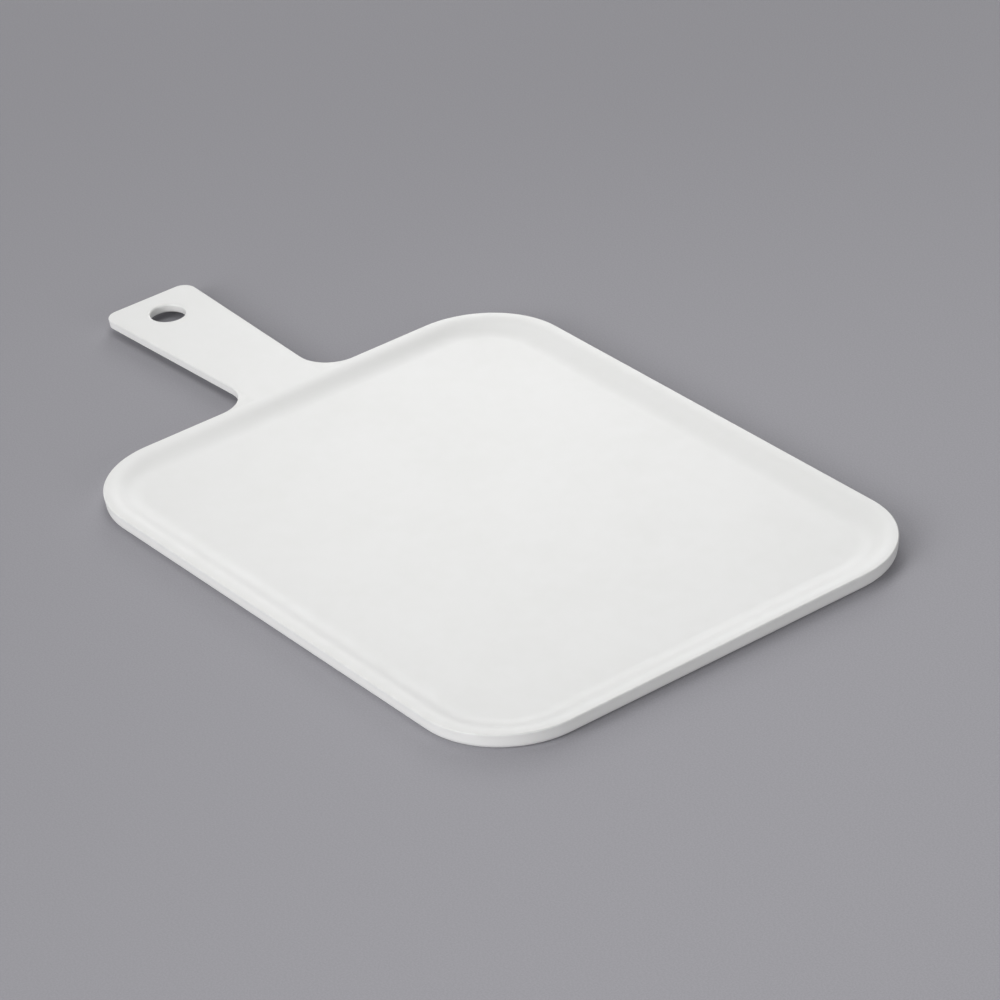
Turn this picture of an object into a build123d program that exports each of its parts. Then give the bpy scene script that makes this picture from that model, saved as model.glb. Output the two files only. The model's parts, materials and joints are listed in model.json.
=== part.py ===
from build123d import *
import math
import os

# A one-piece moulded serving board: a rounded rectangular plate with a raised rim,
# a shallow recess, and a flat handle that widens towards a hanging hole.
# Frame: X along the board with the handle towards -X, Y across it, +Z up.
# Origin: centre of the footprint, on the plane the board rests on. All sizes in mm.

# --- driving dimensions ---
PLATE_LENGTH = 319.0      # along X, between the upper edges
PLATE_WIDTH = 254.0       # along Y, between the upper edges
CORNER_RADIUS = 45.0      # plan radius of the four plate corners
RIM_HEIGHT = 7.9          # table to the crest of the rim
WALL_DRAFT = 7.0          # degrees the side wall leans inwards towards the table
FOOT_RADIUS = 3.0         # rounding where the wall turns under the plate
EDGE_RADIUS = 0.6         # rounding of the upper outer edge

HANDLE_LENGTH = 120.5     # from the plate's straight edge to the handle's end
HANDLE_ROOT_WIDTH = 39.9  # width where the handle's sides would meet the plate
HANDLE_END_WIDTH = 50.7   # width at the far end
HANDLE_THICKNESS = 4.6    # measured down from the rim's height
HANDLE_END_RADIUS = 7.1   # plan radius of the handle's two end corners
HANDLE_EDGE_RADIUS = 0.5  # rounding of the handle's lower edge
ROOT_FILLET = 17.6        # plan radius where the handle runs into the plate

LIP_INSET = 5.2           # outer edge to where crest and slope would meet
RECESS_DEPTH = 3.7        # crest down to the floor
SLOPE_ANGLE = 21.0        # straight part of the slope, degrees from level
LIP_RADIUS = 17.0         # convex turn from the crest into the slope
SOLE_RADIUS = 24.0        # concave turn from the slope into the floor

HOLE_RADIUS = 8.7         # straight wall of the hanging hole
HOLE_END_MARGIN = 20.1    # handle's end to the hole's centre
HOLE_TOP_RADIUS = 1.0     # rounding of the hole's upper edge
HOLE_UNDER_RADIUS = 1.2   # rounding of the hole's lower edge

# --- derived positions ---
OVERALL_LENGTH = PLATE_LENGTH + HANDLE_LENGTH
HANDLE_END_X = -OVERALL_LENGTH / 2
PLATE_BACK_X = HANDLE_END_X + HANDLE_LENGTH
PLATE_FRONT_X = OVERALL_LENGTH / 2
PLATE_CENTRE_X = (PLATE_BACK_X + PLATE_FRONT_X) / 2
HOLE_X = HANDLE_END_X + HOLE_END_MARGIN
HANDLE_UNDER_Z = RIM_HEIGHT - HANDLE_THICKNESS
WALL_LEAN = math.tan(math.radians(WALL_DRAFT))  # inset of the wall per mm of depth

CLOSE = 1e-3              # two positions nearer than this are the same


def vertices_at(sketch, x, half_width):
    """The pair of sketch vertices at x, half_width to each side of the centre line."""
    return [v for v in sketch.vertices()
            if math.isclose(v.X, x, abs_tol=CLOSE)
            and math.isclose(abs(v.Y), half_width, abs_tol=CLOSE)]


def level_edges(shape, z):
    """Edges that lie wholly at height z."""
    return [e for e in shape.edges()
            if math.isclose(e.bounding_box().min.Z, z, abs_tol=CLOSE)
            and math.isclose(e.bounding_box().max.Z, z, abs_tol=CLOSE)]


def plate_outline(inset):
    """Rounded rectangle of the plate, drawn smaller by inset all round."""
    return Pos(PLATE_CENTRE_X, 0) * RectangleRounded(
        PLATE_LENGTH - 2 * inset, PLATE_WIDTH - 2 * inset, CORNER_RADIUS - inset)


def board_outline():
    """Plan outline of plate and handle together."""
    root = HANDLE_ROOT_WIDTH / 2
    end = HANDLE_END_WIDTH / 2
    side = PLATE_WIDTH / 2
    sketch = make_face(Polyline(
        (PLATE_BACK_X, root), (HANDLE_END_X, end), (HANDLE_END_X, -end),
        (PLATE_BACK_X, -root), (PLATE_BACK_X, -side), (PLATE_FRONT_X, -side),
        (PLATE_FRONT_X, side), (PLATE_BACK_X, side), close=True))
    sketch = fillet(vertices_at(sketch, PLATE_FRONT_X, side), CORNER_RADIUS)
    sketch = fillet(vertices_at(sketch, PLATE_BACK_X, side), CORNER_RADIUS)
    sketch = fillet(vertices_at(sketch, PLATE_BACK_X, root), ROOT_FILLET)
    return fillet(vertices_at(sketch, HANDLE_END_X, end), HANDLE_END_RADIUS)


def hung(outline, top_z, depth, taper):
    """Extrude an outline downwards from top_z, narrowing by taper degrees."""
    return extrude(Pos(0, 0, top_z) * outline, amount=depth, dir=(0, 0, -1), taper=taper)


def handle_under_edges(body):
    """Lower outline of the handle, from one root to the other."""
    return [e for e in level_edges(body, HANDLE_UNDER_Z) if e.center().X < PLATE_BACK_X]


def blank():
    """Plate standing on the table with the thinner handle held at the rim's height."""
    slab = hung(board_outline(), RIM_HEIGHT, HANDLE_THICKNESS, WALL_DRAFT)
    base_outline = plate_outline(HANDLE_THICKNESS * WALL_LEAN)
    base = hung(base_outline, HANDLE_UNDER_Z, HANDLE_UNDER_Z, WALL_DRAFT)
    base = fillet(level_edges(base, 0), FOOT_RADIUS)
    body = slab + base
    return fillet(level_edges(body, RIM_HEIGHT), EDGE_RADIUS)


def pocket():
    """What the recess removes: a sloping wall that turns softly into a level floor."""
    tool = hung(plate_outline(LIP_INSET), RIM_HEIGHT, RECESS_DEPTH, 90 - SLOPE_ANGLE)
    return fillet(level_edges(tool, RIM_HEIGHT - RECESS_DEPTH), SOLE_RADIUS)


def lip_edges(body):
    """Edges where the recess's slope breaks the crest of the rim."""
    x_reach = PLATE_LENGTH / 2 - LIP_INSET + CLOSE
    y_reach = PLATE_WIDTH / 2 - LIP_INSET + CLOSE
    return [e for e in level_edges(body, RIM_HEIGHT)
            if abs(e.center().X - PLATE_CENTRE_X) < x_reach and abs(e.center().Y) < y_reach]


def hole_edge(body, z):
    """Circle of the hanging hole at height z."""
    circumference = 2 * math.pi * HOLE_RADIUS
    return [e for e in level_edges(body, z)
            if math.isclose(e.length, circumference, abs_tol=CLOSE)]


board = blank() - pocket()
board = fillet(lip_edges(board), LIP_RADIUS)
board = fillet(handle_under_edges(board), HANDLE_EDGE_RADIUS)
board -= Pos(HOLE_X, 0, RIM_HEIGHT / 2) * Cylinder(HOLE_RADIUS, 2 * RIM_HEIGHT)
board = fillet(hole_edge(board, RIM_HEIGHT), HOLE_TOP_RADIUS)
board = fillet(hole_edge(board, HANDLE_UNDER_Z), HOLE_UNDER_RADIUS)

os.makedirs("parts", exist_ok=True)
export_step(board, "parts/serving_board.step")
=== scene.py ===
"""A moulded melamine serving board with a flat handle, lying on a studio table.

The board is one moulding: a rounded plate with a raised rim round a shallow recess, and a
handle in the plane of the rim, pierced by a hanging hole. All lengths are in metres. The
handle points towards -X, the recess faces +Z, and the board rests on the plane Z = 0.
"""
import json
import logging
import math
from dataclasses import dataclass, field
from enum import Enum
from typing import Callable

import bmesh
import bpy
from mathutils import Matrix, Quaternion, Vector


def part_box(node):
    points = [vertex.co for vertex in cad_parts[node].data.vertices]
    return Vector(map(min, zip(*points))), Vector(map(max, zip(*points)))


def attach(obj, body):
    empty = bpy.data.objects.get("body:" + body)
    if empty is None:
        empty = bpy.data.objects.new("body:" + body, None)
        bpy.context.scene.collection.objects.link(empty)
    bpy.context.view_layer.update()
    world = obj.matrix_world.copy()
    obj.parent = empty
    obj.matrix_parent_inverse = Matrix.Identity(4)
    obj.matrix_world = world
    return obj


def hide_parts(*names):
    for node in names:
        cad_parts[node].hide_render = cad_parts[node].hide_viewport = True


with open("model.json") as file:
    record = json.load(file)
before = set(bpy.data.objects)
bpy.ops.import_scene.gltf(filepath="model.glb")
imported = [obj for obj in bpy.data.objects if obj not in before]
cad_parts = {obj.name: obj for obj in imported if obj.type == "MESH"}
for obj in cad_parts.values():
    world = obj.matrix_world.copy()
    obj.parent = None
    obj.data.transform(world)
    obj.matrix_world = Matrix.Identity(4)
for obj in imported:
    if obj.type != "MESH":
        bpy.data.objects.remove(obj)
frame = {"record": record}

BOARD_NODE = "serving_board"
BODY = "root"
MM = 0.001
CLOSE = 0.00001      # two places nearer than this are the same
WELD = 0.000001      # vertices nearer than this are merged
CIRCULAR = 0.5       # bevel profile that gives a circular arc
NOISE_MIDDLE = 0.5   # value that a noise pattern varies about
PLAIN_DETAIL = 1.0   # noise with little inside its largest features
RICH_DETAIL = 3.0    # noise whose largest features are broken up further
MIX_FACTOR = 0       # input of the Mix node that takes the share of the second colour
MIX_START = 6        # input of the Mix node that takes the first colour
MIX_END = 7          # input of the Mix node that takes the second colour
MIX_COLOUR = 2       # output of the Mix node that gives the mixed colour

log = logging.getLogger("serving_board")

Place = tuple[float, float, float]
Span = tuple[float, float]
VertexTest = Callable[[Vector], bool]
FaceTest = Callable[[Vector, Vector], bool]


class Facing(Enum):
    """Which way a level face of the board looks."""

    UP = 1.0
    DOWN = -1.0


class Element(Enum):
    """Kinds of mesh element that edit mode selects."""

    VERTEX = "VERT"
    EDGE = "EDGE"
    FACE = "FACE"


# --- modelling by hand -------------------------------------------------------------------


def deselect_objects() -> None:
    """Leave no object selected."""
    bpy.ops.object.select_all(action="DESELECT")


def start_editing(piece: bpy.types.Object) -> None:
    """Make one object the only selected one and open it in edit mode.

    Args:
        piece: The object to edit.
    """
    deselect_objects()
    bpy.context.view_layer.objects.active = piece
    piece.select_set(True)
    bpy.ops.object.mode_set(mode="EDIT")


def stop_editing() -> None:
    """Go back to object mode."""
    bpy.ops.object.mode_set(mode="OBJECT")


def clear_selection(element: Element) -> None:
    """Deselect the whole mesh and select by the given kind of element from here on."""
    bpy.ops.mesh.select_mode(type=element.value)
    bpy.ops.mesh.select_all(action="DESELECT")


def show_selection(piece: bpy.types.Object, mesh: bmesh.types.BMesh) -> None:
    """Carry a selection made on the edit mesh over to the object."""
    mesh.select_flush_mode()
    bmesh.update_edit_mesh(piece.data)


def pick_vertices(piece: bpy.types.Object, wanted: VertexTest) -> None:
    """Select the vertices that pass a test.

    Args:
        piece: The object in edit mode.
        wanted: Takes a vertex's place and says whether it is selected.
    """
    clear_selection(Element.VERTEX)
    mesh = bmesh.from_edit_mesh(piece.data)
    for vertex in mesh.verts:
        if wanted(vertex.co):
            vertex.select_set(True)
    show_selection(piece, mesh)


def pick_edges(piece: bpy.types.Object, wanted: VertexTest, rim_only: bool = False) -> None:
    """Select the edges whose two ends both pass a test.

    Args:
        piece: The object in edit mode.
        wanted: Takes the place of an edge's end and says whether it counts.
        rim_only: Whether to take only edges that border an open hole in the mesh.
    """
    clear_selection(Element.EDGE)
    mesh = bmesh.from_edit_mesh(piece.data)
    for edge in mesh.edges:
        ends_match = wanted(edge.verts[0].co) and wanted(edge.verts[1].co)
        if ends_match and (edge.is_boundary or not rim_only):
            edge.select_set(True)
    show_selection(piece, mesh)


def pick_faces(piece: bpy.types.Object, wanted: FaceTest) -> None:
    """Select the faces that pass a test.

    Args:
        piece: The object in edit mode.
        wanted: Takes a face's centre and its normal and says whether it is selected.
    """
    clear_selection(Element.FACE)
    mesh = bmesh.from_edit_mesh(piece.data)
    mesh.normal_update()
    for face in mesh.faces:
        if wanted(face.calc_center_bounds(), face.normal):
            face.select_set(True)
    show_selection(piece, mesh)


def step_inwards(profile: list[tuple[float, float]]) -> None:
    """Inset the selected face along a profile, one ring of faces for each step.

    Args:
        profile: Pairs of (distance in from the outline, height along the face's normal). The
            first pair is where the face stands now.
    """
    for (inset, height), (next_inset, next_height) in zip(profile, profile[1:]):
        bpy.ops.mesh.inset(
            thickness=next_inset - inset, depth=next_height - height, use_even_offset=True)


def arc(
    centre: tuple[float, float], radius: float, start_deg: float, end_deg: float, pieces: int
) -> list[tuple[float, float]]:
    """Points of a circular arc in a profile.

    Args:
        centre: Centre of the arc as (distance in, height).
        radius: Radius of the arc.
        start_deg: Direction of the first point seen from the centre, in degrees.
        end_deg: Direction of the last point seen from the centre, in degrees.
        pieces: How many straight pieces the arc is cut into.

    Returns:
        The arc's points in order, both ends included.
    """
    angles = [
        math.radians(start_deg + (end_deg - start_deg) * step / pieces)
        for step in range(pieces + 1)
    ]
    return [
        (centre[0] + radius * math.cos(angle), centre[1] + radius * math.sin(angle))
        for angle in angles
    ]


# --- the board ---------------------------------------------------------------------------


@dataclass(frozen=True)
class BoardPlan:
    """Plan view of the board at its widest level, just under the rounded upper edge.

    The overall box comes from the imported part. The remaining sizes are the board's own.
    """

    low: Vector
    high: Vector
    corner_radius: float = 44.92 * MM
    corner_pieces: int = 40
    handle_length: float = 120.5 * MM
    handle_root_width: float = 39.74 * MM
    handle_end_width: float = 50.54 * MM
    handle_end_radius: float = 7.02 * MM
    handle_end_pieces: int = 20
    root_radius: float = 17.68 * MM
    root_pieces: int = 24

    @property
    def back_x(self) -> float:
        """X of the plate's straight edge on the handle's side."""
        return self.low.x + self.handle_length

    @property
    def front_x(self) -> float:
        """X of the plate's far edge."""
        return self.high.x

    @property
    def plate_centre(self) -> Vector:
        """Middle of the plate, without the handle, at the crest's height."""
        return Vector(((self.back_x + self.front_x) / 2, 0.0, self.high.z))

    @property
    def side_y(self) -> float:
        """Half the plate's width."""
        return self.high.y

    @property
    def flare(self) -> float:
        """How far each side of the handle leans out towards its end, in radians."""
        spread = (self.handle_end_width - self.handle_root_width) / 2
        return math.atan2(spread, self.handle_length)


@dataclass(frozen=True)
class BoardSection:
    """Section through the rim, measured inwards from the plan outline."""

    edge_radius: float = 0.6 * MM
    edge_pieces: int = 6
    wall_draft_deg: float = 7.0
    foot_radius: float = 3.0 * MM
    foot_pieces: int = 12
    handle_thickness: float = 4.6 * MM
    handle_edge_radius: float = 0.45 * MM
    handle_edge_pieces: int = 4
    lip_inset: float = 5.122 * MM
    lip_radius: float = 17.0 * MM
    lip_pieces: int = 10
    recess_depth: float = 3.7 * MM
    slope_deg: float = 21.0
    sole_radius: float = 24.0 * MM
    sole_pieces: int = 12

    @property
    def lean(self) -> float:
        """How far the wall moves in for each unit that it goes down."""
        return math.tan(math.radians(self.wall_draft_deg))

    @property
    def edge_rise(self) -> float:
        """Height of the rounded upper edge, from the widest level to the crest."""
        return self.edge_radius * (1 + math.sin(math.radians(self.wall_draft_deg)))

    @property
    def crest_start(self) -> float:
        """Where the level crest begins."""
        return self.edge_radius * math.cos(math.radians(self.wall_draft_deg))

    def upper_edge(self) -> list[tuple[float, float]]:
        """Rounded edge from the widest level up to the crest."""
        centre = (self.crest_start, self.edge_rise - self.edge_radius)
        return arc(
            centre, self.edge_radius, 180 + self.wall_draft_deg, 90, self.edge_pieces)

    def wall_to_handle(self) -> list[tuple[float, float]]:
        """Leaning wall from the widest level down to the handle's underside."""
        drop = self.handle_thickness - self.edge_rise
        return [(0.0, 0.0), (drop * self.lean, drop)]

    def wall_to_table(self, rim_height: float) -> list[tuple[float, float]]:
        """Rest of the wall, from the handle's underside round the foot to the table.

        Args:
            rim_height: Height of the crest above the table.

        Returns:
            Profile points, with depths below the widest level.
        """
        table = rim_height - self.edge_rise
        tangent = self.foot_radius * math.tan(math.radians(90 - self.wall_draft_deg) / 2)
        centre = (table * self.lean + tangent, table - self.foot_radius)
        foot = arc(
            centre, self.foot_radius, 180 - self.wall_draft_deg, 90, self.foot_pieces)
        return [self.wall_to_handle()[-1], *foot]

    def recess(self) -> list[tuple[float, float]]:
        """Section of the recess from the crest's outer side down to the floor.

        Returns:
            Profile points, with heights below the crest as negative numbers.
        """
        slope = math.radians(self.slope_deg)
        lip_tangent = self.lip_radius * math.tan(slope / 2)
        sole_tangent = self.sole_radius * math.tan(slope / 2)
        floor_inset = self.lip_inset + self.recess_depth / math.tan(slope)
        lip = arc(
            (self.lip_inset - lip_tangent, -self.lip_radius), self.lip_radius,
            90, 90 - self.slope_deg, self.lip_pieces)
        sole = arc(
            (floor_inset + sole_tangent, self.sole_radius - self.recess_depth),
            self.sole_radius, 270 - self.slope_deg, 270, self.sole_pieces)
        return [(self.crest_start, 0.0), *lip, *sole]


@dataclass(frozen=True)
class HangingHole:
    """Round hole through the handle, with both of its edges rounded."""

    radius: float = 8.7 * MM
    from_end: float = 20.02 * MM
    upper_radius: float = 1.0 * MM
    lower_radius: float = 1.2 * MM
    edge_pieces: int = 8
    sides: int = 96

    def mouth(self, centre: Vector, rounding: float, facing: Facing) -> None:
        """Model one rounded mouth, from the handle's face in to the straight wall.

        Args:
            centre: Middle of the hole on the handle's face.
            rounding: Radius of the mouth's rounded edge.
            facing: The way that face of the handle looks.
        """
        bpy.ops.mesh.primitive_circle_add(
            vertices=self.sides, radius=self.radius + rounding, fill_type="NGON",
            location=centre)
        if facing is Facing.DOWN:
            bpy.ops.mesh.flip_normals()
        step_inwards(arc((0.0, -rounding), rounding, 90, 0, self.edge_pieces))
        bpy.ops.mesh.delete(type="ONLY_FACE")

    def bore(self, piece: bpy.types.Object, centre: Vector, top_z: float, low_z: float) -> None:
        """Join the two mouths with the straight wall.

        Args:
            piece: The board, in edit mode.
            centre: Middle of the hole.
            top_z: Height where the upper mouth ends.
            low_z: Height where the lower mouth ends.
        """
        def ends_wall(place: Vector) -> bool:
            """Whether a place is on the upper or the lower end of the wall."""
            off_level = min(abs(place.z - top_z), abs(place.z - low_z))
            return max(off_level, abs((place.xy - centre.xy).length - self.radius)) < CLOSE

        pick_edges(piece, ends_wall, rim_only=True)
        bpy.ops.mesh.bridge_edge_loops()


@dataclass
class ServingBoard:
    """The whole board as one closed mesh."""

    plan: BoardPlan
    section: BoardSection = field(default_factory=BoardSection)
    hole: HangingHole = field(default_factory=HangingHole)
    smooth_below_deg: float = 35.0
    straight_below_deg: float = 1.0
    name: str = "board_moulding"

    @property
    def crest_z(self) -> float:
        """Height of the crest and of the handle's upper face."""
        return self.plan.high.z

    @property
    def widest_z(self) -> float:
        """Height of the widest level."""
        return self.crest_z - self.section.edge_rise

    @property
    def handle_under_z(self) -> float:
        """Height of the handle's underside."""
        return self.crest_z - self.section.handle_thickness

    @property
    def hole_centre(self) -> Vector:
        """Middle of the hanging hole at the crest's height."""
        return Vector((self.plan.low.x + self.hole.from_end, 0.0, self.crest_z))

    def make(self) -> bpy.types.Object:
        """Model the board from a plane.

        Returns:
            The finished mesh object, at the origin.
        """
        piece = self.plate_blank()
        self.add_handle(piece)
        self.round_plan(piece)
        self.raise_sides(piece)
        self.split_level_face(piece, self.crest_z, self.section.crest_start)
        self.sink_recess(piece)
        self.split_level_face(
            piece, self.handle_under_z, self.section.wall_to_handle()[-1][0])
        self.lower_wall(piece)
        self.round_handle_underside(piece)
        self.pierce(piece)
        self.clean()
        self.smooth(piece)
        return piece

    def plate_blank(self) -> bpy.types.Object:
        """Add the plate's rectangle at the widest level.

        Returns:
            The rectangle, in edit mode.
        """
        deselect_objects()
        centre = self.plan.plate_centre
        centre.z = self.widest_z
        bpy.ops.mesh.primitive_plane_add(size=1, location=(0.0, 0.0, 0.0))
        piece = bpy.context.active_object
        piece.name = self.name
        piece.data.name = self.name
        start_editing(piece)
        bpy.ops.mesh.select_all(action="SELECT")
        spread = (self.plan.front_x - self.plan.back_x, 2 * self.plan.side_y, 1.0)
        bpy.ops.transform.resize(value=spread, center_override=(0.0, 0.0, 0.0))
        bpy.ops.transform.translate(value=centre)
        return piece

    def add_handle(self, piece: bpy.types.Object) -> None:
        """Pull the handle out of the middle of the plate's back edge.

        Args:
            piece: The board, in edit mode.
        """
        root = self.plan.handle_root_width / 2
        for side in (root, -root):
            bpy.ops.mesh.select_all(action="SELECT")
            bpy.ops.mesh.bisect(plane_co=(0.0, side, 0.0), plane_no=(0.0, 1.0, 0.0))
        back_x = self.plan.back_x
        pick_edges(
            piece, lambda place: abs(place.x - back_x) < CLOSE and abs(place.y) < root + CLOSE)
        bpy.ops.mesh.extrude_region_move(
            TRANSFORM_OT_translate={"value": (-self.plan.handle_length, 0.0, 0.0)})
        flare = self.plan.handle_end_width / self.plan.handle_root_width
        end = (self.plan.low.x, 0.0, self.widest_z)
        bpy.ops.transform.resize(value=(1.0, flare, 1.0), center_override=end)
        bpy.ops.mesh.select_all(action="SELECT")
        bpy.ops.mesh.dissolve_limited(angle_limit=math.radians(self.straight_below_deg))

    def round_plan(self, piece: bpy.types.Object) -> None:
        """Round the eight corners of the plan outline.

        Args:
            piece: The board, in edit mode.
        """
        plan = self.plan
        quarter = math.radians(90)
        groups = [
            (lambda place: abs(place.y) > plan.side_y - CLOSE,
             plan.corner_radius, quarter, plan.corner_pieces),
            (lambda place: abs(place.x - plan.back_x) < CLOSE and abs(place.y) < plan.side_y / 2,
             plan.root_radius, quarter + plan.flare, plan.root_pieces),
            (lambda place: place.x < plan.low.x + CLOSE,
             plan.handle_end_radius, quarter + plan.flare, plan.handle_end_pieces),
        ]
        for wanted, radius, turn, pieces in groups:
            pick_vertices(piece, wanted)
            bpy.ops.mesh.bevel(
                offset_type="ABSOLUTE", offset=radius * math.tan(turn / 2), segments=pieces,
                profile=CIRCULAR, affect="VERTICES", clamp_overlap=False)

    def raise_sides(self, piece: bpy.types.Object) -> None:
        """Round the upper edge up to the crest and drop the wall to the handle's underside.

        Args:
            piece: The board, in edit mode.
        """
        bpy.ops.mesh.select_mode(type=Element.FACE.value)
        bpy.ops.mesh.select_all(action="SELECT")
        bpy.ops.mesh.duplicate()
        bpy.ops.mesh.flip_normals()
        step_inwards(self.section.wall_to_handle())
        pick_faces(piece, lambda centre, normal: normal.z > 0)
        step_inwards(self.section.upper_edge())
        bpy.ops.mesh.select_all(action="SELECT")
        bpy.ops.mesh.remove_doubles(threshold=WELD)

    def split_level_face(self, piece: bpy.types.Object, height: float, inset: float) -> None:
        """Cut a level face in two, where the handle meets the plate.

        Args:
            piece: The board, in edit mode.
            height: Height of the face.
            inset: How far its outline stands in from the widest one.
        """
        line_x = self.plan.back_x + inset
        reach = self.plan.side_y / 2
        pick_vertices(
            piece, lambda place: abs(place.z - height) < CLOSE
            and abs(place.x - line_x) < CLOSE and abs(place.y) < reach)
        bpy.ops.mesh.vert_connect()

    def pick_plate_face(self, piece: bpy.types.Object, height: float) -> None:
        """Select the plate's part of a level face."""
        pick_faces(
            piece, lambda centre, normal: abs(centre.z - height) < CLOSE
            and abs(normal.z) > 1 - CLOSE and centre.x > self.plan.back_x)

    def sink_recess(self, piece: bpy.types.Object) -> None:
        """Sink the recess ring by ring, from the crest to the floor.

        Args:
            piece: The board, in edit mode.
        """
        self.pick_plate_face(piece, self.crest_z)
        step_inwards(self.section.recess())

    def lower_wall(self, piece: bpy.types.Object) -> None:
        """Carry the plate's wall down to the table, under the handle as well.

        Args:
            piece: The board, in edit mode.
        """
        self.pick_plate_face(piece, self.handle_under_z)
        step_inwards(self.section.wall_to_table(self.crest_z - self.plan.low.z))

    def round_handle_underside(self, piece: bpy.types.Object) -> None:
        """Round the handle's lower edge from one root to the other, but not across the root.

        Args:
            piece: The board, in edit mode.
        """
        inset = self.section.wall_to_handle()[-1][0]
        line_x = self.plan.back_x + inset
        pick_edges(
            piece, lambda place: abs(place.z - self.handle_under_z) < CLOSE
            and place.x < line_x + CLOSE and abs(place.y) < self.plan.side_y / 2)
        mesh = bmesh.from_edit_mesh(piece.data)
        for edge in mesh.edges:
            start, end = (vertex.co for vertex in edge.verts)
            crosses = abs(start.y - end.y) > self.plan.handle_root_width
            if edge.select and crosses and start.x > line_x - CLOSE:
                edge.select_set(False)
        show_selection(piece, mesh)
        bpy.ops.mesh.bevel(
            offset_type="OFFSET", offset=self.section.handle_edge_radius,
            segments=self.section.handle_edge_pieces, profile=CIRCULAR, affect="EDGES",
            clamp_overlap=False)

    def pierce(self, piece: bpy.types.Object) -> None:
        """Open the hanging hole through the handle.

        Args:
            piece: The board, in edit mode.
        """
        hole = self.hole
        low_centre = self.hole_centre
        low_centre.z = self.handle_under_z
        for centre, rounding, facing in (
            (self.hole_centre, hole.upper_radius, Facing.UP),
            (low_centre, hole.lower_radius, Facing.DOWN),
        ):
            pick_faces(
                piece, lambda middle, normal: abs(middle.z - centre.z) < CLOSE
                and normal.z * facing.value > 1 - CLOSE and middle.x < self.plan.back_x)
            bpy.ops.mesh.delete(type="ONLY_FACE")
            bpy.ops.mesh.select_all(action="DESELECT")
            hole.mouth(centre, rounding, facing)
            pick_edges(piece, lambda place: abs(place.z - centre.z) < CLOSE, rim_only=True)
            bpy.ops.mesh.fill()
            bpy.ops.mesh.tris_convert_to_quads()
        hole.bore(
            piece, low_centre, self.crest_z - hole.upper_radius,
            self.handle_under_z + hole.lower_radius)

    def clean(self) -> None:
        """Merge doubles, turn every face outwards and leave edit mode."""
        bpy.ops.mesh.select_all(action="SELECT")
        bpy.ops.mesh.remove_doubles(threshold=WELD)
        bpy.ops.mesh.normals_make_consistent(inside=False)
        bpy.ops.mesh.select_all(action="DESELECT")
        stop_editing()

    def smooth(self, piece: bpy.types.Object) -> None:
        """Shade the roundings smooth and keep the level faces flat.

        Args:
            piece: The board, in object mode.
        """
        bpy.ops.object.shade_smooth_by_angle(angle=math.radians(self.smooth_below_deg))
        weighted = piece.modifiers.new("level_faces", "WEIGHTED_NORMAL")
        weighted.keep_sharp = True
        bpy.ops.object.modifier_apply(modifier=weighted.name)


# --- finishes ----------------------------------------------------------------------------


class Tone:
    """A number that varies over a surface, with Python arithmetic.

    An expression on tones adds its Math nodes to the bench that the tones come from.
    """

    def __init__(self, bench: "FinishBench", socket: bpy.types.NodeSocket) -> None:
        """Wrap an output socket of the bench's node tree."""
        self.bench = bench
        self.socket = socket

    def __add__(self, other: "Tone | float") -> "Tone":
        """Sum of the two."""
        return self.bench.maths("ADD", self, other)

    def __radd__(self, other: float) -> "Tone":
        """Sum of the two."""
        return self.bench.maths("ADD", other, self)

    def __sub__(self, other: "Tone | float") -> "Tone":
        """This tone less the other."""
        return self.bench.maths("SUBTRACT", self, other)

    def __rsub__(self, other: float) -> "Tone":
        """The other less this tone."""
        return self.bench.maths("SUBTRACT", other, self)

    def __mul__(self, other: "Tone | float") -> "Tone":
        """Product of the two."""
        return self.bench.maths("MULTIPLY", self, other)

    def __rmul__(self, other: float) -> "Tone":
        """Product of the two."""
        return self.bench.maths("MULTIPLY", other, self)

    def __abs__(self) -> "Tone":
        """This tone without its sign."""
        return self.bench.maths("ABSOLUTE", self)


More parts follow.
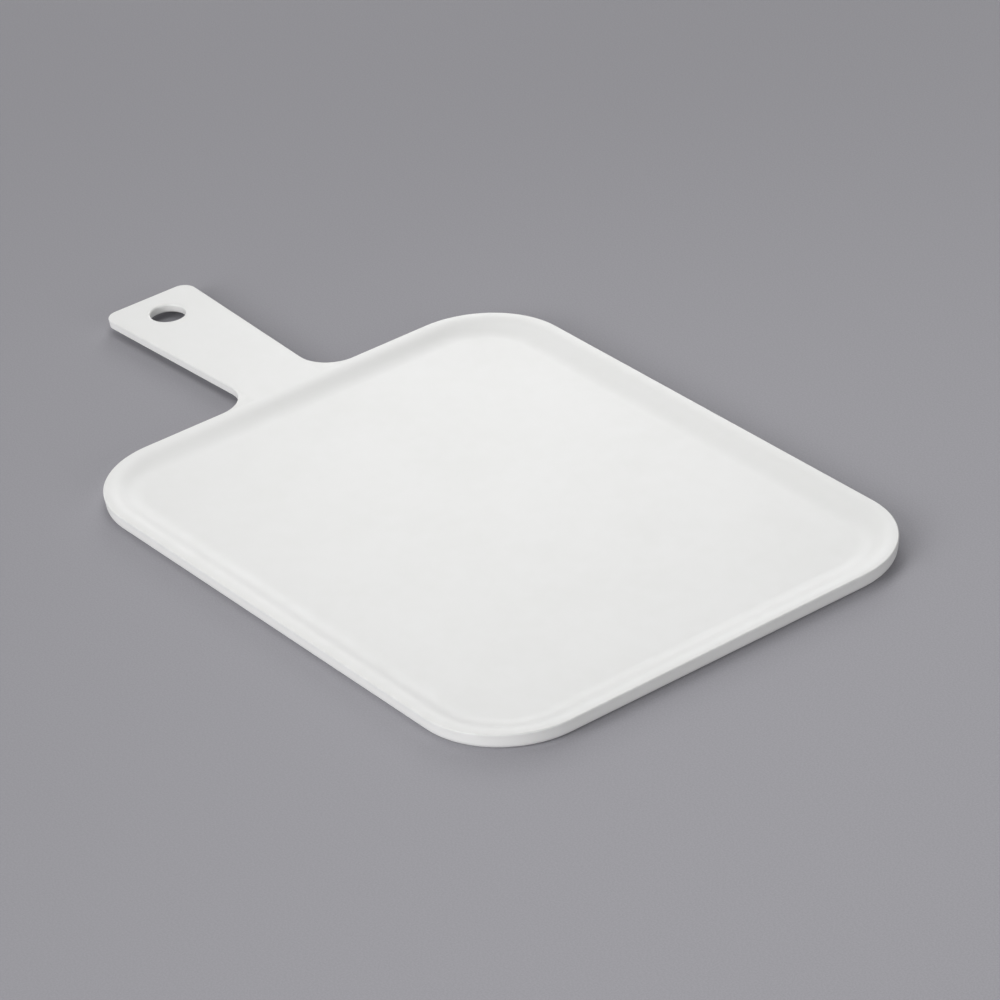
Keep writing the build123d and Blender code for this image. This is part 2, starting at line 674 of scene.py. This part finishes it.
class FinishBench:
    """Lays out one material's nodes."""

    def __init__(self, name: str) -> None:
        """Start an empty material.

        Args:
            name: Name of the material.
        """
        self.material = bpy.data.materials.new(name)
        self.material.use_nodes = True
        self.tree = self.material.node_tree
        self.tree.nodes.clear()

    def node(
        self, kind: str, settings: dict[str, object], sockets: dict[str | int, object]
    ) -> bpy.types.Node:
        """Add one node.

        Args:
            kind: The node's type.
            settings: Properties of the node, set before its sockets.
            sockets: For each input's name or index, a number, a colour, a tone or a socket.

        Returns:
            The new node.
        """
        made = self.tree.nodes.new(kind)
        for name, value in settings.items():
            setattr(made, name, value)
        for key, value in sockets.items():
            source = value.socket if isinstance(value, Tone) else value
            if isinstance(source, bpy.types.NodeSocket):
                self.tree.links.new(source, made.inputs[key])
            else:
                made.inputs[key].default_value = source
        return made

    def maths(self, operation: str, *values: Tone | float) -> Tone:
        """Add a Math node.

        Args:
            operation: The node's operation.
            *values: What its inputs take, in order.

        Returns:
            The result.
        """
        made = self.node("ShaderNodeMath", {"operation": operation}, dict(enumerate(values)))
        return Tone(self, made.outputs[0])

    def vector_maths(self, operation: str, *values: object) -> bpy.types.Node:
        """Add a Vector Math node.

        Args:
            operation: The node's operation.
            *values: What its inputs take, in order.

        Returns:
            The new node.
        """
        return self.node(
            "ShaderNodeVectorMath", {"operation": operation}, dict(enumerate(values)))

    def ramp(self, value: Tone, low: float, high: float) -> Tone:
        """Rise softly from 0 to 1.

        Args:
            value: What decides the result.
            low: The value that gives 0.
            high: The value that gives 1. It may be the smaller of the two.

        Returns:
            The soft step, from 0 to 1.
        """
        settings = {"interpolation_type": "SMOOTHSTEP"}
        made = self.node(
            "ShaderNodeMapRange", settings, {"Value": value, "From Min": low, "From Max": high})
        return Tone(self, made.outputs["Result"])

    def places(
        self, centre: Vector, turn_deg: float = 0.0, stretch: Place = (1.0, 1.0, 1.0)
    ) -> object:
        """Object coordinates measured from a point of the board.

        Args:
            centre: The point that becomes the origin.
            turn_deg: How far the pattern is turned about the vertical, in degrees.
            stretch: Scale of the coordinates along each axis, after the turn.

        Returns:
            The vector socket.
        """
        source = self.node("ShaderNodeTexCoord", {}, {})
        moved = self.vector_maths("SUBTRACT", source.outputs["Object"], centre)
        turned = self.node(
            "ShaderNodeMapping", {"vector_type": "POINT"},
            {"Vector": moved.outputs[0], "Rotation": (0.0, 0.0, math.radians(turn_deg))})
        return self.vector_maths("MULTIPLY", turned.outputs[0], stretch).outputs[0]

    def noise(self, places: object, grain: float, detail: float) -> Tone:
        """Add a noise pattern.

        Args:
            places: Coordinates that the pattern lies on.
            grain: Size of its largest features.
            detail: How many finer layers it has.

        Returns:
            The pattern, around 0.5.
        """
        made = self.node(
            "ShaderNodeTexNoise", {}, {"Vector": places, "Scale": 1 / grain, "Detail": detail})
        return Tone(self, made.outputs["Fac"])

    def blend(self, amount: Tone, start: object, end: object) -> object:
        """Mix two colours.

        Args:
            amount: 0 for the first colour, 1 for the second.
            start: The first colour or its socket.
            end: The second colour or its socket.

        Returns:
            The mixed colour's socket.
        """
        made = self.node(
            "ShaderNodeMix", {"data_type": "RGBA"},
            {MIX_FACTOR: amount, MIX_START: start, MIX_END: end})
        return made.outputs[MIX_COLOUR]

    def bump(self, height: Tone, depth: float) -> object:
        """Turn a height pattern into a normal.

        Args:
            height: The pattern.
            depth: How deep its full range is.

        Returns:
            The normal's socket.
        """
        made = self.node("ShaderNodeBump", {}, {"Height": height, "Distance": depth})
        return made.outputs["Normal"]

    def finish(self, sockets: dict[str | int, object]) -> bpy.types.Material:
        """Close the tree with a Principled shader.

        Args:
            sockets: The shader's inputs.

        Returns:
            The finished material.
        """
        shader = self.node("ShaderNodeBsdfPrincipled", {}, sockets)
        self.node("ShaderNodeOutputMaterial", {}, {"Surface": shader.outputs[0]})
        return self.material


def opaque(colour: Place) -> tuple[float, float, float, float]:
    """The colour with full alpha."""
    return (*colour, 1.0)


@dataclass(frozen=True)
class MelamineFinish:
    """White moulded melamine: satin, faintly clouded and lightly handled."""

    plan: BoardPlan
    hole: HangingHole
    white: Place
    clouded: Place = (0.848, 0.849, 0.835)
    speck: Place = (0.45, 0.44, 0.42)
    rubbed: Place = (0.80, 0.80, 0.785)
    refraction: float = 1.5
    roughness: float = 0.42
    mottle_roughness: float = 0.10
    scuff_roughness: float = 0.12
    wear_polish: float = 0.08
    cloud_grain: float = 55 * MM
    cloud_share: float = 0.6
    cloud_span: Span = (0.35, 0.68)
    mottle_grain: float = 7 * MM
    mottle_share: float = 0.4
    mottle_height: float = 1.5
    peel_grain: float = 0.9 * MM
    peel_depth: float = 0.006 * MM
    scuff_width: float = 0.9 * MM
    scuff_length: float = 60 * MM
    scuff_angles_deg: tuple[float, ...] = (24.0, -38.0, 81.0)
    scuff_span: Span = (0.66, 0.74)
    scuffed_patches: Span = (0.40, 0.62)
    scuff_height: float = 0.8
    speck_spacing: float = 14 * MM
    speck_radius: float = 0.16 * MM
    speck_core: float = 0.4
    speck_strength_span: Span = (0.55, 1.0)
    wear_strength: float = 0.7
    wear_width: float = 1.6 * MM
    wear_breakup: Span = (0.30, 0.65)
    foot_height: float = 0.5 * MM

    def material(self) -> bpy.types.Material:
        """Lay out the finish as a material.

        Returns:
            The material.
        """
        bench = FinishBench("satin_melamine")
        centre = self.plan.plate_centre
        places = bench.places(centre)
        cloud = bench.noise(places, self.cloud_grain, RICH_DETAIL)
        mottle = bench.noise(places, self.mottle_grain, RICH_DETAIL)
        peel = bench.noise(places, self.peel_grain, PLAIN_DETAIL)
        scuffs = self.scuffs(bench, centre, cloud)
        worn = self.edge_wear(bench, mottle)
        clouding = cloud * self.cloud_share + mottle * self.mottle_share
        colour = bench.blend(
            bench.ramp(clouding, *self.cloud_span), opaque(self.white), opaque(self.clouded))
        colour = bench.blend(self.specks(bench, places), colour, opaque(self.speck))
        colour = bench.blend(worn * self.wear_strength, colour, opaque(self.rubbed))
        unevenness = mottle - NOISE_MIDDLE
        roughness = (
            self.roughness + unevenness * self.mottle_roughness
            + scuffs * self.scuff_roughness - worn * self.wear_polish)
        height = peel + unevenness * self.mottle_height - scuffs * self.scuff_height
        return bench.finish({
            "Base Color": colour,
            "Roughness": roughness,
            "Normal": bench.bump(height, self.peel_depth),
            "IOR": self.refraction,
        })

    def scuffs(self, bench: FinishBench, centre: Vector, patches: Tone) -> Tone:
        """Fine hairlines left by cutlery and wiping, gathered in places.

        Args:
            bench: The bench that the material is made on.
            centre: Middle of the plate.
            patches: A slow pattern that gathers the hairlines.

        Returns:
            0 for clean, 1 for the middle of a hairline.
        """
        squeeze = self.scuff_width / self.scuff_length
        total = None
        for angle in self.scuff_angles_deg:
            streaks = bench.places(centre, angle, (squeeze, 1.0, squeeze))
            lines = bench.noise(streaks, self.scuff_width, PLAIN_DETAIL)
            drawn = bench.ramp(lines, *self.scuff_span)
            total = drawn if total is None else bench.maths("MAXIMUM", total, drawn)
        return total * bench.ramp(patches, *self.scuffed_patches)

    def specks(self, bench: FinishBench, places: object) -> Tone:
        """Pin-sized grey specks in the moulding, far apart and of uneven strength.

        Args:
            bench: The bench that the material is made on.
            places: Coordinates centred on the plate.

        Returns:
            0 for clean, 1 for the middle of a speck.
        """
        cells = bench.node(
            "ShaderNodeTexVoronoi", {"feature": "F1"},
            {"Vector": places, "Scale": 1 / self.speck_spacing})
        reach = Tone(bench, cells.outputs["Distance"])
        strength = Tone(bench, cells.outputs["Color"])
        radius = self.speck_radius / self.speck_spacing
        dot = bench.ramp(reach, radius, radius * self.speck_core)
        return dot * bench.ramp(strength, *self.speck_strength_span)

    def edge_wear(self, bench: FinishBench, breakup: Tone) -> Tone:
        """Where the board is rubbed: its upper edge, the hanging hole and the foot.

        Args:
            bench: The bench that the material is made on.
            breakup: A pattern that makes the wear uneven.

        Returns:
            0 for as moulded, 1 for most rubbed.
        """
        plan = self.plan
        middle = plan.plate_centre
        half = Vector((plan.front_x - middle.x, plan.side_y, 0.0))
        core = Vector((half.x - plan.corner_radius, half.y - plan.corner_radius, 1.0))
        across = bench.vector_maths("ABSOLUTE", bench.places(middle))
        beyond = bench.vector_maths("SUBTRACT", across.outputs[0], core)
        corner = bench.vector_maths("MAXIMUM", beyond.outputs[0], (0.0, 0.0, 0.0))
        reach = Tone(bench, bench.vector_maths("LENGTH", corner.outputs[0]).outputs["Value"])
        plate_depth = plan.corner_radius - reach
        end_foot = Vector((plan.low.x, 0.0, plan.low.z))
        from_end = bench.node(
            "ShaderNodeSeparateXYZ", {}, {"Vector": bench.places(end_foot)})
        along = Tone(bench, from_end.outputs["X"])
        side = Tone(bench, from_end.outputs["Y"])
        height = Tone(bench, from_end.outputs["Z"])
        half_width = plan.handle_end_width / 2 - along * math.tan(plan.flare)
        handle_depth = bench.maths("MINIMUM", half_width - abs(side), along)
        depth = bench.maths("MAXIMUM", plate_depth, handle_depth)
        rim = bench.ramp(depth, self.wear_width, 0.0) * bench.ramp(
            height, plan.high.z - 2 * self.wear_width, plan.high.z)
        hole_centre = Vector((plan.low.x + self.hole.from_end, 0.0, 0.0))
        flat = bench.vector_maths("MULTIPLY", bench.places(hole_centre), (1.0, 1.0, 0.0))
        from_hole = Tone(bench, bench.vector_maths("LENGTH", flat.outputs[0]).outputs["Value"])
        mouth = self.hole.radius + self.hole.upper_radius
        ring = bench.ramp(from_hole, mouth + self.wear_width, mouth)
        foot = bench.ramp(height, self.foot_height, 0.0)
        rubbed = bench.maths("MAXIMUM", bench.maths("MAXIMUM", rim, ring), foot)
        return rubbed * bench.ramp(breakup, *self.wear_breakup)


@dataclass(frozen=True)
class TableFinish:
    """Pale grey matt card with a very fine grain, with painted shade that darkens it beyond the
    handle.
    """

    pale: Place = (0.486, 0.479, 0.517)
    # painted shade: the card fades from the pale tone to this darker one beyond the handle,
    # standing in for shadow
    painted_shade: Place = (0.345, 0.340, 0.368)
    pale_from: float = 0.50
    painted_shade_from: float = -0.21
    painted_shade_turn_deg: float = -17.0
    dark_grain: Place = (0.200, 0.197, 0.213)
    grain_amount: float = 0.16
    grain_span: Span = (0.3, 0.7)
    roughness: float = 0.85
    grain: float = 0.8 * MM
    grain_depth: float = 0.02 * MM

    def material(self) -> bpy.types.Material:
        """Lay out the finish as a material.

        Returns:
            The material.
        """
        bench = FinishBench("pale_grey_card")
        middle = Vector((0.0, 0.0, 0.0))
        grain = bench.noise(bench.places(middle), self.grain, PLAIN_DETAIL)
        turned = bench.places(middle, self.painted_shade_turn_deg)
        parts = bench.node("ShaderNodeSeparateXYZ", {}, {"Vector": turned})
        along = Tone(bench, parts.outputs["X"])
        # painted shade: darkens the card towards the handle's side
        painted_shade_fade = bench.ramp(along, self.painted_shade_from, self.pale_from)
        card = bench.blend(painted_shade_fade, opaque(self.painted_shade), opaque(self.pale))
        graininess = bench.ramp(grain, *self.grain_span) * self.grain_amount
        colour = bench.blend(graininess, card, opaque(self.dark_grain))
        return bench.finish({
            "Base Color": colour,
            "Roughness": self.roughness,
            "Normal": bench.bump(grain, self.grain_depth),
        })


# --- the studio --------------------------------------------------------------------------


@dataclass(frozen=True)
class Softbox:
    """One square diffused lamp that faces the board."""

    name: str
    azimuth_deg: float
    elevation_deg: float
    watts: float
    distance: float = 2.2
    width: float = 1.2

    def hang(self, aim: Vector) -> None:
        """Hang the lamp.

        Args:
            aim: The point that it faces.
        """
        deselect_objects()
        bpy.ops.object.light_add(type="AREA", location=(0.0, 0.0, 0.0))
        lamp = bpy.context.active_object
        lamp.name = self.name
        lamp.data.name = self.name
        away = direction(self.azimuth_deg, self.elevation_deg)
        lamp.location = aim + away * self.distance
        lamp.rotation_mode = "QUATERNION"
        lamp.rotation_quaternion = (-away).to_track_quat("-Z", "Y")
        lamp.data.shape = "SQUARE"
        lamp.data.size = self.width
        lamp.data.energy = self.watts


@dataclass(frozen=True)
class StudioCamera:
    """Long-lens camera above the far corner of the board."""

    azimuth_deg: float = -35.640
    elevation_deg: float = 30.663
    roll_deg: float = -4.573
    distance: float = 2.2144
    focal_length: float = 174.88
    film_width: float = 36.0
    aim: Place = (0.04553, 0.01434, 0.0)

    def place(self) -> None:
        """Set up the camera and make it the scene's own."""
        deselect_objects()
        bpy.ops.object.camera_add(location=(0.0, 0.0, 0.0))
        camera = bpy.context.active_object
        camera.name = "studio_camera"
        away = direction(self.azimuth_deg, self.elevation_deg)
        camera.location = Vector(self.aim) + away * self.distance
        level = (-away).to_track_quat("-Z", "Y")
        camera.rotation_mode = "QUATERNION"
        camera.rotation_quaternion = level @ Quaternion(
            (0.0, 0.0, 1.0), math.radians(self.roll_deg))
        camera.data.sensor_width = self.film_width
        camera.data.lens = self.focal_length
        bpy.context.scene.camera = camera


def direction(azimuth_deg: float, elevation_deg: float) -> Vector:
    """Unit vector towards a place in the studio.

    Args:
        azimuth_deg: Angle from +X, turning towards +Y, in degrees.
        elevation_deg: Angle above the table, in degrees.

    Returns:
        The unit vector.
    """
    azimuth = math.radians(azimuth_deg)
    elevation = math.radians(elevation_deg)
    level = math.cos(elevation)
    return Vector(
        (level * math.cos(azimuth), level * math.sin(azimuth), math.sin(elevation)))


@dataclass(frozen=True)
class Studio:
    """Table, soft light all round, and lamps."""

    sky: Place = (1.0, 1.0, 1.0)
    sky_strength: float = 0.15
    table_width: float = 24.0
    lamps: tuple[Softbox, ...] = (
        Softbox("overhead_lamp", 180.0, 74.1, 0.58, distance=0.512, width=0.30),
        Softbox("back_lamp", 135.0, 30.0, 13.1),
        Softbox("low_back_lamp", 135.0, 12.0, 7.2),
        Softbox("side_lamp", 270.0, 30.0, 19.2),
        Softbox("low_side_lamp", 270.0, 12.0, 17.1),
        Softbox("low_handle_lamp", 180.0, 12.0, 5.7),
        Softbox("far_lamp", 0.0, 12.0, 14.0),
    )

    def lay_table(self, height: float) -> None:
        """Lay the table.

        Args:
            height: Height of its surface.
        """
        deselect_objects()
        bpy.ops.mesh.primitive_plane_add(size=self.table_width, location=(0.0, 0.0, height))
        table = bpy.context.active_object
        table.name = "table"
        table.data.materials.append(TableFinish().material())

    def light(self, aim: Vector) -> None:
        """Switch on the soft surrounding light and hang the lamps.

        Args:
            aim: The point that the lamps face.
        """
        world = bpy.data.worlds.new("studio_air")
        bpy.context.scene.world = world
        world.use_nodes = True
        air = world.node_tree.nodes["Background"]
        air.inputs["Color"].default_value = opaque(self.sky)
        air.inputs["Strength"].default_value = self.sky_strength
        for lamp in self.lamps:
            lamp.hang(aim)
            log.info("%s hung at %.0f degrees", lamp.name, lamp.azimuth_deg)


def main() -> None:
    """Build the board and the studio."""
    logging.basicConfig(level=logging.INFO, format="%(name)s: %(message)s")
    scene = bpy.context.scene
    scene.view_settings.view_transform = "Standard"
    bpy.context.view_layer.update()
    StudioCamera().place()
    low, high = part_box(BOARD_NODE)
    plan = BoardPlan(low, high)
    melamine = frame["record"]["materials"][0]
    board = ServingBoard(plan)
    piece = board.make()
    piece.data.materials.clear()
    piece.data.materials.append(
        MelamineFinish(plan, board.hole, tuple(melamine["base_color"])).material())
    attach(piece, BODY)
    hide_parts(BOARD_NODE)
    log.info("%s modelled with %d faces", piece.name, len(piece.data.polygons))
    studio = Studio()
    studio.lay_table(low.z)
    studio.light(plan.plate_centre)


if __name__ == "__main__":
    main()
